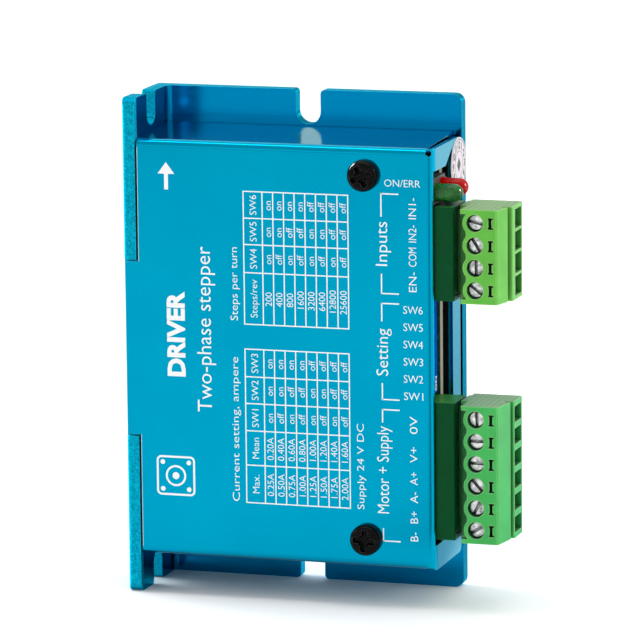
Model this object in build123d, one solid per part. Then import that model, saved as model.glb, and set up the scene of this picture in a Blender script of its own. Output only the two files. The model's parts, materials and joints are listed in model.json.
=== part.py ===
"""Two-phase stepper motor driver module: L-shaped heatsink, folded sheet cover, circuit board,
two pluggable screw-terminal connectors and a six-way DIP switch.

Working axes (mm): X from the heatsink's outer side towards the connectors, Y from the cover's
front face towards the back, Z up the long side from its lower end.
The written parts have their origin at the centre of the back mounting face.
"""
import math
import os

from build123d import *

# ---------------------------------------------------------------- driving dimensions
LENGTH = 86.0                # heatsink, end to end
WIDTH = 55.3                 # heatsink's outer side to the cover's right side
DEPTH = 20.0                 # cover's front face to the back mounting face
LEG = 2.4                    # thickness of both legs of the extrusion
SHEET = 0.8                  # cover sheet

# heatsink
MOUNT_SLOT_W = 4.4
SIDE_SLOT_Y = 8.85
SIDE_SLOT_DEEP = 5.7
BACK_SLOT_X = 27.95
BACK_SLOT_DEEP = 5.95
SIDE_EAR_R = 1.8
BACK_EAR_R = 1.6
SLOT_MOUTH_R = 0.7
CORNER_FILLET = 0.9

# cover
COVER_LEFT = 2.7
COVER_LOW, COVER_HIGH = 6.9, 79.1
BEND_R = 1.3
FLANGE_BACK = 16.1
UPPER_BACK = 17.3                                  # the upper flange nearly meets the back leg
TOP_FLANGE_RISE = math.tan(math.radians(2.2))     # the upper flange springs open a little
TONGUE_LEFT = 0.4
TONGUE_LOW, TONGUE_HIGH = 27.8, 57.95
WINDOW_LOW, WINDOW_HIGH = 11.1, 75.25
WINDOW_FRONT, WINDOW_BACK = 0.6, 11.5

# fixing points of the board
COVER_SCREW_TURNS = (26, -6)                       # as they were left, in degrees
RIGHT_POST_X = 43.1
RIGHT_POSTS_Z = (74.3, 11.7)
LEFT_POST_X = 7.6
LEFT_POSTS_Z = (73.6, 12.4)
POST_AF = 5.0
M3_R = 1.48
M3_HOLE_R = 1.5

# circuit board
BOARD_FRONT, BOARD_BACK = 8.45, 10.05
BOARD_X = (3.5, 53.9)
BOARD_Z = (8.8, 77.2)
INNER_BACK = DEPTH - LEG                           # inner face of the back leg

# pluggable connectors
PITCH = 3.81
POLE_X = 62.58                                     # axis of the terminal screws
HEADER_X = (49.4, 58.45)
HEADER_Y = (1.1, BOARD_FRONT)
HEADER_WALL = 0.8
PIN = 1.0
PIN_Y = 4.95
PIN_TIP_X = 57.0
PIN_DOWN_X = 48.2
PLUG_FRONT = -0.7
TIER_Y = 3.8
TONGUE_X = 51.9
SCREW_HOLE_R = 1.45
SCREW_HEAD_R = 1.35
SCREW_HEAD_Y = (0.3, 1.2)
SCREW_SHANK_R = 1.0
BAR_Y = (4.6, 5.3)                                 # contact bar that the screw's tip bears on
CLAMP_X = (61.3, 64.2)
CLAMP_HALF_Z = 1.5
CLAMP_TOP_Y = (3.3, 4.5)
CLAMP_LOW_Y = (7.7, 8.4)
CLAMP_WALL = 0.4
CLAMP_TRAVEL = 2.0                                 # towards the cover front, from fully open

# name, poles, centre height, groove Y, lip X, back Y, wire entry height
PLUGS = {
    "signal": dict(poles=4, z=61.26, groove=3.0, lip_x=67.95, back=10.2, entry=3.3),
    "power": dict(poles=6, z=23.96, groove=4.4, lip_x=67.75, back=10.5, entry=2.75),
}
# slot directions of the terminal screws as they were left, in degrees from the X axis
SCREW_TURNS = {
    "signal": (-12, -58, -90, -38),
    "power": (-88, 0, 0, -48, 62, 33),
}

# DIP switch and lamps
DIP_X = (46.4, 54.0)
DIP_Y = (0.95, 6.0)
DIP_Z = (36.6, 52.5)
DIP_POLES = 6
DIP_PITCH = 2.54
KNOB = 1.2
DIP_TRAVEL = 1.2
LAMP_R = 1.5
LAMP_END_X = 59.6
LAMP_BASE_X = 54.9
GREEN_LAMP = (3.0, 71.45)                          # Y, Z of its axis
RED_LAMP = (6.3, 71.95)

# driver chip on the heatsink
CHIP_X = (13.0, 30.0)
CHIP_Z = (33.0, 53.0)
TAB_Z = (27.6, 58.4)
TAB_Y = (15.8, 17.0)
CHIP_FRONT = 12.8


# ---------------------------------------------------------------- shape helpers
def block(x, y, z):
    """Box between the low and high value of each axis."""
    size = [high - low for low, high in (x, y, z)]
    middle = [(high + low) / 2 for low, high in (x, y, z)]
    return Pos(*middle) * Box(*size)


def rod(axis, centre, span, radius):
    """Round bar along axis "X", "Y" or "Z"; centre holds the other two coordinates in order."""
    middle = (span[0] + span[1]) / 2
    place = {
        "X": (middle, centre[0], centre[1]),
        "Y": (centre[0], middle, centre[1]),
        "Z": (centre[0], centre[1], middle),
    }[axis]
    turn = {"X": Rot(0, 90, 0), "Y": Rot(90, 0, 0), "Z": Rot(0, 0, 0)}[axis]
    return Pos(*place) * turn * Cylinder(radius, span[1] - span[0])


def hexagon_bar(x, z, span):
    """Six-sided bar along Y."""
    outline = RegularPolygon(POST_AF / 2, 6, major_radius=False)
    bar = extrude(outline, span[1] - span[0])
    return Pos(x, span[1], z) * Rot(90, 0, 0) * bar


def extruded_x(points, span):
    """Outline in (Y, Z) points, pushed along X."""
    return extrude(Plane.YZ.offset(span[0]) * Polygon(*points, align=None), span[1] - span[0])


def extruded_z(points, span):
    """Outline in (X, Y) points, pushed along Z."""
    return extrude(Plane.XY.offset(span[0]) * Polygon(*points, align=None), span[1] - span[0])


def edges_at(shape, axis, **where):
    """Edges along axis whose middle lies at the given x, y or z values."""
    found = shape.edges().filter_by(axis)
    for name, value in where.items():
        letter = name.upper()
        found = found.filter_by(
            lambda e, n=letter, v=value: abs(getattr(e.center(), n) - v) < 0.02)
    return found


def pole_heights(name):
    """Z of each pole of a connector, from the top down."""
    plug = PLUGS[name]
    top = plug["z"] + (plug["poles"] - 1) / 2 * PITCH
    return [top - i * PITCH for i in range(plug["poles"])]


def plug_half(name):
    """Half the length of a plug or header along Z."""
    return (PLUGS[name]["poles"] * PITCH + 0.8) / 2


def dip_heights():
    middle = (DIP_Z[0] + DIP_Z[1]) / 2
    return [middle + (2.5 - i) * DIP_PITCH for i in range(DIP_POLES)]


# ---------------------------------------------------------------- heatsink
def make_heatsink():
    outline = Polygon((0, 0), (LEG, 0), (LEG, INNER_BACK), (WIDTH, INNER_BACK),
                      (WIDTH, DEPTH), (0, DEPTH), align=None)
    corners = outline.vertices()
    outline = fillet(corners.sort_by_distance((0, 0, 0))[:1], 0.9)
    outline = fillet(outline.vertices().sort_by_distance((LEG, INNER_BACK, 0))[:1], CORNER_FILLET)
    outline = fillet(outline.vertices().sort_by_distance((0, DEPTH, 0))[:1], 0.5)
    body = extrude(outline, LENGTH)

    # ear corners: the side leg's front corners and the back leg's right corners
    for end, inward in ((0, 1), (LENGTH, -1)):
        r = SIDE_EAR_R
        square = block((-1, LEG + 0.01), (-1, r), sorted((end - inward, end + inward * r)))
        square -= rod("X", (r, end + inward * r), (-1, LEG + 0.01), r)
        body -= square
        r = BACK_EAR_R
        square = block((WIDTH - r, WIDTH + 1), (INNER_BACK - 1, DEPTH + 1),
                       sorted((end - inward, end + inward * r)))
        square -= rod("Y", (WIDTH - r, end + inward * r), (INNER_BACK - 1, DEPTH + 1), r)
        body -= square

    # open round-bottomed mounting slots in both ears of both legs
    half = MOUNT_SLOT_W / 2
    for end, inward in ((0, 1), (LENGTH, -1)):
        deep = end + inward * (SIDE_SLOT_DEEP - half)
        body -= block((-1, LEG + 1), (SIDE_SLOT_Y - half, SIDE_SLOT_Y + half),
                      sorted((end - inward, deep)))
        body -= rod("X", (SIDE_SLOT_Y, deep), (-1, LEG + 1), half)
        deep = end + inward * (BACK_SLOT_DEEP - half)
        body -= block((BACK_SLOT_X - half, BACK_SLOT_X + half), (INNER_BACK - 1, DEPTH + 1),
                      sorted((end - inward, deep)))
        body -= rod("Y", (BACK_SLOT_X, deep), (INNER_BACK - 1, DEPTH + 1), half)
        for side in (-half, half):
            body = fillet(edges_at(body, Axis.X, y=SIDE_SLOT_Y + side, z=end), SLOT_MOUTH_R)
            body = fillet(edges_at(body, Axis.Y, x=BACK_SLOT_X + side, z=end), SLOT_MOUTH_R)

    # the side leg's front edge steps back where the cover's tongue lies on it
    gap = 0.28
    body -= block((-1, LEG + 1), (-1, SHEET + 0.12), (TONGUE_LOW - gap, TONGUE_HIGH + gap))

    # blind tapped holes for the posts and the chip's screws
    for x, z in post_places() + chip_screw_places():
        body -= rod("Y", (x, z), (INNER_BACK - 1, DEPTH - 0.5), M3_HOLE_R)
    return body


def post_places():
    right = [(RIGHT_POST_X, z) for z in RIGHT_POSTS_Z]
    left = [(LEFT_POST_X, z) for z in LEFT_POSTS_Z]
    return right + left


def chip_screw_places():
    middle = sum(CHIP_X) / 2
    return [(middle, TAB_Z[0] + 2.4), (middle, TAB_Z[1] - 2.4)]


# ---------------------------------------------------------------- cover
def ring_quarter(centre, start, span, axis):
    """Quarter of the bend's tube section: outer radius BEND_R, one sheet thick."""
    ring = rod(axis, centre, span, BEND_R) - rod(axis, centre, span, BEND_R - SHEET)
    low = [c - BEND_R for c in centre]
    quarter = {
        "front_high": ((low[0], centre[0]), (centre[1], centre[1] + BEND_R)),
        "front_low": ((low[0], centre[0]), (low[1], centre[1])),
        "right": ((centre[0], centre[0] + BEND_R), (low[1], centre[1])),
    }[start]
    if axis == "X":
        return ring & block(span, *quarter)
    return ring & block(quarter[0], quarter[1], span)


def make_cover():
    bend_x = WIDTH - BEND_R
    z_low, z_high = COVER_LOW + BEND_R, COVER_HIGH - BEND_R
    across = (COVER_LEFT, bend_x)
    cover = block(across, (0, SHEET), (z_low, z_high))
    cover = fillet(edges_at(cover, Axis.Z, x=COVER_LEFT, y=0), 0.2)

    # upper and lower flanges with their bends
    cover += ring_quarter((BEND_R, z_high), "front_high", across, "X")
    cover += ring_quarter((BEND_R, z_low), "front_low", across, "X")
    rise = (UPPER_BACK - BEND_R) * TOP_FLANGE_RISE
    upper = [(BEND_R, COVER_HIGH - SHEET), (UPPER_BACK, COVER_HIGH - SHEET + rise),
             (UPPER_BACK, COVER_HIGH + rise), (BEND_R, COVER_HIGH)]
    upper_flange = extruded_x(upper, (COVER_LEFT - 0.22, bend_x))
    lower_flange = block(across, (BEND_R, FLANGE_BACK), (COVER_LOW, COVER_LOW + SHEET))
    for flange in (upper_flange, lower_flange):
        cover += fillet(flange.edges().filter_by(Axis.Z).group_by(Axis.Y)[-1], 0.8)

    # right flange, one bend and one long window for the connectors, lamps and switch
    whole = (COVER_LOW, COVER_HIGH)
    cover += ring_quarter((bend_x, BEND_R), "right", whole, "Z")
    flange = block((WIDTH - SHEET, WIDTH), (BEND_R, FLANGE_BACK), whole)
    flange = fillet(edges_at(flange, Axis.X, y=FLANGE_BACK), 1.2)
    cover += flange
    slant_y = 7.5
    window = [(WINDOW_FRONT, WINDOW_LOW), (WINDOW_BACK, WINDOW_LOW),
              (WINDOW_BACK, WINDOW_HIGH + 2.6), (slant_y, WINDOW_HIGH),
              (WINDOW_FRONT, WINDOW_HIGH)]
    cover -= extruded_x(window, (bend_x - 0.1, WIDTH + 1))

    # relief where two bends meet: a hole at the upper corner, a shallow bite at the lower one
    cover -= rod("Y", (WIDTH - 0.95, COVER_HIGH - 0.75), (-1, 1.6), 0.52)
    cover -= rod("Y", (WIDTH - 0.95, COVER_LOW - 0.35), (-1, 1.6), 0.8)

    # tongue over the side leg's front edge
    tongue = block((TONGUE_LEFT, COVER_LEFT + 0.4), (0, SHEET), (TONGUE_LOW, TONGUE_HIGH))
    tongue = fillet(edges_at(tongue, Axis.Y, x=TONGUE_LEFT), 0.6)
    cover += tongue

    # clearance holes of the two cover screws
    for z in RIGHT_POSTS_Z:
        cover -= rod("Y", (RIGHT_POST_X, z), (-1, SHEET + 1), 1.65)
    return cover


# ---------------------------------------------------------------- fasteners
def cross_recess(size, deep):
    """Tapered cross socket, cut downwards from the XY plane."""
    cross = Rectangle(size, size * 0.27) + Rectangle(size * 0.27, size)
    arms = extrude(Plane.XY.offset(0.1) * cross, -deep - 0.1, taper=8)
    middle = Pos(0, 0, -deep / 2) * Cone(0.35, size * 0.3, deep)
    return arms + middle


def pan_screw(x, z, seat_y, head_r, head_h, length, turn=0, recess=2.9):
    """Pan-head machine screw whose head sits on the plane y = seat_y and faces -Y."""
    head = rod("Y", (x, z), (seat_y - head_h, seat_y), head_r)
    top_edge = head.edges().filter_by(GeomType.CIRCLE).sort_by(Axis.Y)[0]
    head = fillet(top_edge, head_h * 0.62)
    head -= Pos(x, seat_y - head_h, z) * Rot(90, 0, turn) * cross_recess(recess, 1.2)
    return head + rod("Y", (x, z), (seat_y, seat_y + length), M3_R)


def make_cover_screws():
    screws = []
    for z, turn in zip(RIGHT_POSTS_Z, COVER_SCREW_TURNS):
        screws.append(pan_screw(RIGHT_POST_X, z, 0, 2.7, 1.9, 6.0, turn, 3.9))
    return screws


def make_board_screws():
    return [pan_screw(LEFT_POST_X, z, BOARD_FRONT, 2.6, 1.8, 6.0) for z in LEFT_POSTS_Z]


def make_lower_posts():
    posts = []
    for x, z in post_places():
        post = hexagon_bar(x, z, (BOARD_BACK, INNER_BACK))
        post += rod("Y", (x, z), (INNER_BACK, DEPTH - 0.8), M3_R)
        post -= rod("Y", (x, z), (BOARD_BACK - 1, BOARD_BACK + 6), M3_HOLE_R)
        posts.append(post)
    return posts


def make_upper_posts():
    posts = []
    for z in RIGHT_POSTS_Z:
        post = hexagon_bar(RIGHT_POST_X, z, (SHEET, BOARD_FRONT))
        post += rod("Y", (RIGHT_POST_X, z), (BOARD_FRONT, BOARD_BACK + 4.5), M3_R)
        post -= rod("Y", (RIGHT_POST_X, z), (SHEET - 1, SHEET + 6.2), M3_HOLE_R)
        posts.append(post)
    return posts


# ---------------------------------------------------------------- driver chip on the heatsink
def make_thermal_pad():
    pad = block((CHIP_X[0] - 0.5, CHIP_X[1] + 0.5), (TAB_Y[1], INNER_BACK),
                (TAB_Z[0] - 0.4, TAB_Z[1] + 0.4))
    for x, z in chip_screw_places():
        pad -= rod("Y", (x, z), (TAB_Y[1] - 1, DEPTH), 1.7)
    return pad


def make_insulating_sheet():
    sheet = block((3.6, 53.1), (INNER_BACK - 0.25, INNER_BACK), (8.4, 77.6))
    sheet -= block((CHIP_X[0] - 0.9, CHIP_X[1] + 0.9), (INNER_BACK - 1, INNER_BACK + 1),
                   (TAB_Z[0] - 0.8, TAB_Z[1] + 0.8))
    for x, z in post_places():
        sheet -= rod("Y", (x, z), (INNER_BACK - 1, INNER_BACK + 1), 3.2)
    return sheet


def make_chip_tab():
    tab = block(CHIP_X, TAB_Y, TAB_Z)
    for x, z in chip_screw_places():
        tab -= rod("Y", (x, z), (TAB_Y[0] - 1, TAB_Y[1] + 1), 1.6)
    return tab


def make_chip_body():
    body = block(CHIP_X, (CHIP_FRONT, TAB_Y[0]), CHIP_Z)
    return chamfer(body.edges().filter_by(Axis.Y), 0.6)


def chip_lead_heights():
    return [34.4 + i * 1.91 for i in range(10)]


def make_chip_leads():
    leads = []
    for i, z in enumerate(chip_lead_heights()):
        bend_x = CHIP_X[1] + (1.4 if i % 2 else 3.0)
        run = block((CHIP_X[1], bend_x + 0.25), (14.0, 14.4), (z - 0.3, z + 0.3))
        rise = block((bend_x - 0.25, bend_x + 0.25), (BOARD_FRONT - 0.8, 14.0), (z - 0.3, z + 0.3))
        leads.append(run + rise)
    return leads


def make_chip_screws():
    return [pan_screw(x, z, TAB_Y[0], 2.6, 1.8, 3.2) for x, z in chip_screw_places()]


# ---------------------------------------------------------------- circuit board
def board_pin_holes():
    """(x, z, radius) of every plated hole."""
    holes = []
    for name in PLUGS:
        holes += [(PIN_DOWN_X, z, 0.8) for z in pole_heights(name)]
    for z in dip_heights():
        holes += [(DIP_X[0] + 1.0, z, 0.45), (DIP_X[1] - 1.2, z, 0.45)]
    for lamp, x in lamp_leads():
        holes += [(x, lamp[1] + side, 0.45) for side in (-0.64, 0.64)]
    for i, z in enumerate(chip_lead_heights()):
        holes.append((CHIP_X[1] + (1.4 if i % 2 else 3.0), z, 0.5))
    return holes


def make_board():
    board = block(BOARD_X, (BOARD_FRONT, BOARD_BACK), BOARD_Z)
    board = fillet(board.edges().filter_by(Axis.Y), 0.8)
    for x, z in post_places():
        board -= rod("Y", (x, z), (BOARD_FRONT - 1, BOARD_BACK + 1), 1.6)
    for x, z, r in board_pin_holes():
        board -= rod("Y", (x, z), (BOARD_FRONT - 1, BOARD_BACK + 1), r)
    return board


def make_capacitor_cans():
    cans = []
    for x, z in capacitor_places():
        can = rod("Y", (x, z), (2.6, BOARD_FRONT - 0.7), 3.1)
        can = fillet(can.edges().filter_by(GeomType.CIRCLE).sort_by(Axis.Y)[0], 0.5)
        groove = rod("Y", (x, z), (6.4, 6.8), 3.2) - rod("Y", (x, z), (6.3, 6.9), 2.9)
        cans.append(can - groove)
    return cans


def capacitor_places():
    return [(37.5, 21.0), (37.5, 28.6), (29.6, 21.0)]


def make_capacitor_bases():
    bases = []
    for x, z in capacitor_places():
        base = block((x - 3.3, x + 3.3), (BOARD_FRONT - 0.7, BOARD_FRONT), (z - 3.3, z + 3.3))
        bases.append(chamfer(edges_at(base, Axis.Y, x=x + 3.3), 1.1))
    return bases


def package_places():
    """(x, z, width, height, thickness) of each moulded package on the board's front."""
    packages = [(21.0, 58.0, 7.0, 7.0, 1.4), (37.0, 46.6, 5.0, 4.0, 1.5), (40.5, 39.0, 4.0, 5.0, 1.5)]
    packages += [(41.0, z, 4.4, 3.0, 2.1) for z in (67.0, 62.2, 57.4, 52.6)]
    packages += [(12.0, z, 6.0, 5.0, 1.7) for z in (62.0, 24.0)]
    return packages


def make_packages():
    solids = []
    for x, z, width, height, thick in package_places():
        top = BOARD_FRONT - 0.12 - thick
        body = block((x - width / 2, x + width / 2), (top, BOARD_FRONT - 0.12),
                     (z - height / 2, z + height / 2))
        solids.append(chamfer(body.faces().sort_by(Axis.Y)[0].edges(), 0.2))
    return solids


def make_package_leads():
    solids = []
    for x, z, width, height, thick in package_places():
        count = max(2, int(height / 1.27))
        for i in range(count):
            lead_z = z + (i - (count - 1) / 2) * 1.27
            for side in (-1, 1):
                inner, outer = x + side * width / 2, x + side * (width / 2 + 0.9)
                solids.append(block(sorted((inner, outer)), (BOARD_FRONT - 0.35, BOARD_FRONT),
                                    (lead_z - 0.2, lead_z + 0.2)))
    return solids


def make_resistors():
    solids = []
    for x, z in ((20.0, 44.0), (20.0, 38.0), (20.0, 32.0)):
        solids.append(block((x - 3.2, x + 3.2), (BOARD_FRONT - 0.7, BOARD_FRONT), (z - 1.6, z + 1.6)))
    for row in range(6):
        for column in range(3):
            x, z = 28.5 + column * 3.1, 55.5 + row * 2.6
            solids.append(block((x - 0.8, x + 0.8), (BOARD_FRONT - 0.5, BOARD_FRONT),
                                (z - 0.4, z + 0.4)))
    return solids


def make_inductor():
    x, z = 12.5, 42.0
    body = block((x - 3.6, x + 3.6), (BOARD_FRONT - 4.2, BOARD_FRONT), (z - 3.6, z + 3.6))
    body = chamfer(body.edges().filter_by(Axis.Y), 1.2)
    ring = rod("Y", (x, z), (BOARD_FRONT - 4.3, BOARD_FRONT - 3.8), 3.0)
    return body - (ring - rod("Y", (x, z), (BOARD_FRONT - 4.4, BOARD_FRONT - 3.7), 2.3))


# ---------------------------------------------------------------- headers on the board
def make_header(name):
    middle, half = PLUGS[name]["z"], plug_half(name)
    body = block(HEADER_X, HEADER_Y, (middle - half, middle + half))
    body = chamfer(edges_at(body, Axis.Z, x=HEADER_X[1]), 0.25)
    mouth_y = (HEADER_Y[0] + HEADER_WALL, HEADER_Y[1] - HEADER_WALL)
    inner = half - HEADER_WALL
    body -= block((HEADER_X[0] + 1.5, HEADER_X[1] + 1), mouth_y, (middle - inner, middle + inner))
    for z in pole_heights(name):
        body -= block((HEADER_X[0] - 1, HEADER_X[0] + 2), (PIN_Y - PIN / 2, PIN_Y + PIN / 2),
                      (z - PIN / 2, z + PIN / 2))
    return body


def make_header_pins(name):
    pins = []
    half = PIN / 2
    for z in pole_heights(name):
        run = block((PIN_DOWN_X - half, PIN_TIP_X), (PIN_Y - half, PIN_Y + half), (z - half, z + half))
        run = chamfer(run.faces().sort_by(Axis.X)[-1].edges(), 0.25)
        down = block((PIN_DOWN_X - half, PIN_DOWN_X + half), (PIN_Y, BOARD_BACK + 2.2),
                     (z - half, z + half))
        pins.append(run + down)
    return pins


# ---------------------------------------------------------------- plugs
def plug_outline(name):
    """Section of a plug outside its header, in X and Y."""
    plug = PLUGS[name]
    groove, lip, back = plug["groove"], plug["lip_x"], plug["back"]
    bevel = 0.25
    return [
        (61.05, PLUG_FRONT), (66.5 - bevel, PLUG_FRONT), (66.5, PLUG_FRONT + bevel),
        (67.3, groove), (66.2, groove), (66.2, groove + 0.8),
        (lip - 0.15, groove + 0.8), (lip, groove + 0.95),
        (lip, back - bevel), (lip - bevel, back),
        (59.3, back), (59.3, BOARD_FRONT + 0.25), (58.9, BOARD_FRONT + 0.25),
        (58.9, TIER_Y), (61.05, TIER_Y),
    ]


def plug_shell(name):
    """Outer shape: wall block, lip, scalloped screw bosses, end walls and mating tongue."""
    middle, half = PLUGS[name]["z"], plug_half(name)
    whole = (middle - half, middle + half)
    shell = extruded_z(plug_outline(name), whole)
    boss_clip = block((60.5, 61.2), (PLUG_FRONT, TIER_Y), (middle - half + 0.3, middle + half - 0.3))
    for z in pole_heights(name):
        shell += rod("Y", (POLE_X, z), (PLUG_FRONT, TIER_Y), 2.1) & boss_clip
    for end in (whole[0], whole[1] - 0.75):
        shell += block((60.1, 61.1), (PLUG_FRONT, TIER_Y), (end, end + 0.75))
    inner = half - HEADER_WALL - 0.15
    tongue_y = (HEADER_Y[0] + HEADER_WALL + 0.15, HEADER_Y[1] - HEADER_WALL - 0.15)
    tongue = block((TONGUE_X, 58.9), tongue_y, (middle - inner, middle + inner))
    tongue -= block((58.3, 58.9), (0, BAR_Y[0] - 0.2), whole)
    return shell + tongue


def pole_cavity(name, z):
    """Everything hollow around one terminal: screw hole, clamp chamber, wire entry, contact way."""
    plug = PLUGS[name]
    entry = plug["entry"] / 2
    lip = plug["lip_x"]
    cavity = rod("Y", (POLE_X, z), (PLUG_FRONT - 1, 1.3), SCREW_HOLE_R)
    chamber_x = (CLAMP_X[0] - 0.08, CLAMP_X[1] + 0.12)
    chamber_y = (CLAMP_TOP_Y[0] - CLAMP_TRAVEL - 0.08, CLAMP_LOW_Y[1] + 0.12)
    cavity += block(chamber_x, chamber_y, (z - 1.62, z + 1.62))
    cavity += block((CLAMP_X[1], lip + 1), (BAR_Y[1] + 0.1, CLAMP_LOW_Y[0] - 0.1), (z - 1.1, z + 1.1))
    cavity += block((lip - 1.6, lip + 1), (BAR_Y[1] + 0.1, plug["back"] - 0.75), (z - entry, z + entry))
    cavity += block((TONGUE_X - 1, 58.3), (3.75, 6.15), (z - 1.12, z + 1.12))
    cavity += block((58.2, CLAMP_X[0]), (BAR_Y[0] - 0.05, BAR_Y[1] + 0.05), (z - 1.05, z + 1.05))
    return cavity + test_slot(z)


def test_slot(z):
    """I-shaped opening beside each screw hole, for a meter probe."""
    slot = block((64.98, 65.52), (PLUG_FRONT - 1, 0.9), (z - 0.97, z + 0.97))
    for side in (-1, 1):
        inner, outer = z + side * 0.67, z + side * 0.97
        slot += block((64.87, 65.8), (PLUG_FRONT - 1, 0.9), sorted((inner, outer)))
    return slot


def make_plug_housing(name):
    housing = plug_shell(name)
    for z in pole_heights(name):
        housing -= pole_cavity(name, z)
    return housing


def make_contacts(name):
    """Bar under each screw, and the square socket that takes the header's pin."""
    contacts = []
    for z in pole_heights(name):
        bar = block((57.9, CLAMP_X[1] - 0.1), BAR_Y, (z - 1.0, z + 1.0))
        socket = block((TONGUE_X + 0.3, 58.2), (3.85, 6.05), (z - 1.0, z + 1.0))
        socket -= block((TONGUE_X, 57.7), (PIN_Y - 0.62, PIN_Y + 0.62), (z - 0.62, z + 0.62))
        contacts.append(bar + socket)
    return contacts


def make_terminal_screw(z, turn):
    """Slotted cheese-head screw whose tip bears on the contact bar."""
    screw = rod("Y", (POLE_X, z), SCREW_HEAD_Y, SCREW_HEAD_R)
    screw = chamfer(screw.edges().filter_by(GeomType.CIRCLE).sort_by(Axis.Y)[0], 0.12)
    screw += rod("Y", (POLE_X, z), (SCREW_HEAD_Y[1], BAR_Y[0] - 0.03), SCREW_SHANK_R)
    slot = Box(4, 1.3, 0.56)
    return screw - Pos(POLE_X, SCREW_HEAD_Y[0], z) * Rot(0, -turn, 0) * slot


def make_clamp(z):
    """Rising cage: threaded top plate, two side walls and a jaw under the wire."""
    clamp = block(CLAMP_X, (CLAMP_TOP_Y[0], CLAMP_LOW_Y[1]), (z - CLAMP_HALF_Z, z + CLAMP_HALF_Z))
    inner = CLAMP_HALF_Z - CLAMP_WALL
    clamp -= block((CLAMP_X[0] - 1, CLAMP_X[1] + 1), (CLAMP_TOP_Y[1], CLAMP_LOW_Y[0]),
                   (z - inner, z + inner))
    return clamp - rod("Y", (POLE_X, z), (CLAMP_TOP_Y[0] - 1, CLAMP_TOP_Y[1] + 1),
                       SCREW_SHANK_R + 0.05)


# ---------------------------------------------------------------- DIP switch
def make_dip_body():
    """Housing with a slot for each knob, on a narrower stand-off against the board."""
    body = block(DIP_X, DIP_Y, DIP_Z)
    body += block((DIP_X[0] + 1.6, DIP_X[1] - 1.9), (DIP_Y[1], BOARD_FRONT),
                  (DIP_Z[0] + 0.6, DIP_Z[1] - 0.6))
    middle = (DIP_Y[0] + DIP_Y[1]) / 2
    reach = (KNOB + DIP_TRAVEL) / 2 + 0.1
    for z in dip_heights():
        body -= block((DIP_X[1] - 1.6, DIP_X[1] + 1), (middle - reach, middle + reach),
                      (z - 0.62, z + 0.62))
    return body


def make_dip_knob(z):
    """Sliding actuator, left at the end of its slot nearest the cover's front."""
    low = (DIP_Y[0] + DIP_Y[1] - KNOB - DIP_TRAVEL) / 2
    knob = block((DIP_X[1] - 1.5, DIP_X[1] + 0.08), (low, low + KNOB), (z - 0.55, z + 0.55))
    return chamfer(knob.faces().sort_by(Axis.X)[-1].edges(), 0.12)


def make_dip_pins():
    pins = []
    for z in dip_heights():
        for x in (DIP_X[0] + 1.0, DIP_X[1] - 1.2):
            pins.append(block((x - 0.15, x + 0.15), (DIP_Y[1], BOARD_BACK + 1.2), (z - 0.3, z + 0.3)))
    return pins


# ---------------------------------------------------------------- lamps and seal
def lamp_leads():
    """Each lamp with the X where its leads turn down to the board."""
    return [(GREEN_LAMP, 52.6), (RED_LAMP, 51.2)]


def make_lamp(lamp):
    y, z = lamp
    straight = LAMP_END_X - LAMP_R
    lens = rod("X", (y, z), (LAMP_BASE_X, straight), LAMP_R)
    lens += Pos(straight, y, z) * Sphere(LAMP_R)
    lens += rod("X", (y, z), (LAMP_BASE_X, LAMP_BASE_X + 0.7), LAMP_R + 0.1)
    return lens - lamp_post(lamp, 0.02) - lamp_cup(lamp, 0.02)


def lamp_post(lamp, clear):
    """Flat post of the upper lead inside the lens. clear widens it for its cavity."""
    y, z = lamp
    return block((LAMP_BASE_X - 1, LAMP_BASE_X + 2.1 + clear), (y - 0.25 - clear, y + 0.25 + clear),
                 (z + 0.39 - clear, z + 0.89 + clear))


def lamp_cup(lamp, clear):
    """Stem and cup of the lower lead inside the lens. clear widens them for their cavity."""
    y, z = lamp
    stem = block((LAMP_BASE_X - 1, LAMP_BASE_X + 1.5), (y - 0.25 - clear, y + 0.25 + clear),
                 (z - 0.89 - clear, z - 0.39 + clear))
    cup = rod("X", (y, z - 0.38), (LAMP_BASE_X + 1.4 - clear, LAMP_BASE_X + 2.0 + clear), 0.55 + clear)
    return stem + cup


def lead_path(lamp, x, side, clear):
    """One square lead: back from the lamp, then down to the board. clear widens it for a slot."""
    y, z = lamp[0], lamp[1] + side
    half = 0.25 + clear
    run = block((x - half, LAMP_BASE_X + clear), (y - half, y + half), (z - half, z + half))
    return run + block((x - half, x + half), (y - half, BOARD_BACK + 1.0), (z - half, z + half))


def make_lamp_leads():
    leads = []
    for lamp, x in lamp_leads():
        leads.append(lead_path(lamp, x, 0.64, 0) + lamp_post(lamp, 0))
        leads.append(lead_path(lamp, x, -0.64, 0) + lamp_cup(lamp, 0))
    return leads


def make_lamp_spacer():
    spacer = block((50.2, LAMP_BASE_X), (1.35, BOARD_FRONT), (69.45, 73.9))
    spacer = chamfer(edges_at(spacer, Axis.X, y=1.35), 0.3)
    for lamp, x in lamp_leads():
        for side in (-0.64, 0.64):
            spacer -= lead_path(lamp, x, side, 0.05)
    return spacer


def make_seal():
    """Round paper seal across the seam between the cover's flange and the heatsink."""
    return rod("X", (15.25, 74.3), (WIDTH, WIDTH + 0.12), 4.7)


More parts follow.
